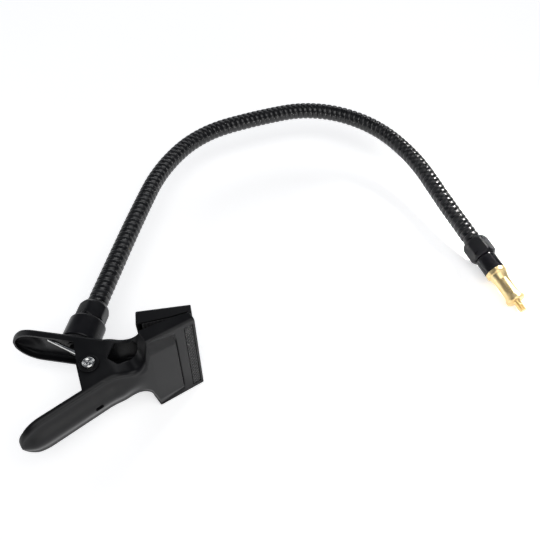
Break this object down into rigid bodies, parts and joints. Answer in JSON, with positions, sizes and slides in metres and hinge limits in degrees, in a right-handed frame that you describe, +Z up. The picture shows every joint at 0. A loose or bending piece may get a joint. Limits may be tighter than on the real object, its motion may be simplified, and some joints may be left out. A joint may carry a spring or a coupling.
{
  "type": "spring clamp with flexible arm",
  "caption": "Spring clamp with wide padded jaws and a bendable gooseneck arm that carries a threaded brass stud, for holding an airbrush rest, lamp or small tool.",
  "frame": {"origin": "middle of the part's outline on the surface that it lies on", "axes": "+Z up, along the clamp's pivot rivet; the gooseneck starts along +Y from the clamp and curves over towards +X"},
  "size_m": [0.3866, 0.369, 0.078],
  "materials": {
    "painted_steel": "semi-gloss black powder coat on pressed steel",
    "pad_rubber": "matt black rubber",
    "zinc_steel": "bright zinc plated steel",
    "black_plastic": "satin black moulded plastic",
    "gooseneck_steel": "glossy black wound steel",
    "brass": "turned and polished brass"
  },
  "bodies": {
    "upper_half": {"upper_shell": "painted_steel", "upper_pad": "pad_rubber", "pivot_rivet": "zinc_steel", "rivet_washer_top": "painted_steel", "rivet_washer_bottom": "painted_steel", "pivot_sleeve": "zinc_steel", "spring_upper_half": "zinc_steel", "boss_gasket": "pad_rubber", "boss_screw": "painted_steel", "boss_washer": "painted_steel", "arm_boss": "black_plastic", "base_ferrule": "black_plastic", "arm_segment_1": "gooseneck_steel"},
    "lower_half": {"lower_shell": "painted_steel", "lower_pad": "pad_rubber", "spring_lower_half": "zinc_steel"},
    "arm_2": {"arm_segment_2": "gooseneck_steel"},
    "arm_3": {"arm_segment_3": "gooseneck_steel"},
    "arm_4": {"arm_segment_4": "gooseneck_steel"},
    "arm_5": {"arm_segment_5": "gooseneck_steel"},
    "arm_6": {"arm_segment_6": "gooseneck_steel"},
    "arm_7": {"arm_segment_7": "gooseneck_steel"},
    "arm_8": {"arm_segment_8": "gooseneck_steel"},
    "arm_tip": {"arm_segment_9": "gooseneck_steel", "tip_ferrule": "black_plastic", "tip_socket": "black_plastic", "brass_spigot": "brass"}
  },
  "joints": [
    {"name": "jaw_pivot", "type": "hinge", "parent": "upper_half", "child": "lower_half", "pos_m": [-0.1311, -0.13273, 0.039], "axis": [0, 0, -1], "range_deg": [0, 40], "stiffness_Nm_per_rad": 1.2, "springref_deg": -68.75},
    {"name": "arm_swing_1", "type": "hinge", "parent": "upper_half", "child": "arm_2", "pos_m": [-0.12988, -0.00203, 0.03997], "axis": [-0.006, -0.0326, 0.9995], "range_deg": [-25, 30]},
    {"name": "arm_lift_2", "type": "hinge", "parent": "arm_2", "child": "arm_3", "pos_m": [-0.11818, 0.05545, 0.04207], "axis": [-0.9763, 0.2164, 0], "range_deg": [-20, 20]},
    {"name": "arm_swing_3", "type": "hinge", "parent": "arm_3", "child": "arm_4", "pos_m": [-0.09607, 0.1095, 0.04381], "axis": [-0.0111, -0.0178, 0.9998], "range_deg": [-15, 30]},
    {"name": "arm_lift_4", "type": "hinge", "parent": "arm_4", "child": "arm_5", "pos_m": [-0.05316, 0.14847, 0.04433], "axis": [-0.4462, 0.8949, 0], "range_deg": [-20, 20]},
    {"name": "arm_swing_5", "type": "hinge", "parent": "arm_5", "child": "arm_6", "pos_m": [0.00073, 0.17163, 0.0434], "axis": [0.0262, 0.0096, 0.9996], "range_deg": [-15, 30]},
    {"name": "arm_lift_6", "type": "hinge", "parent": "arm_6", "child": "arm_7", "pos_m": [0.05826, 0.17239, 0.04043], "axis": [0.3173, 0.9483, 0], "range_deg": [-20, 20]},
    {"name": "arm_swing_7", "type": "hinge", "parent": "arm_7", "child": "arm_8", "pos_m": [0.10549, 0.13933, 0.03506], "axis": [0.0683, -0.0859, 0.994], "range_deg": [-15, 30]},
    {"name": "arm_lift_8", "type": "hinge", "parent": "arm_8", "child": "arm_tip", "pos_m": [0.13341, 0.08844, 0.02842], "axis": [0.9455, 0.3256, 0], "range_deg": [-20, 20]}
  ]
}
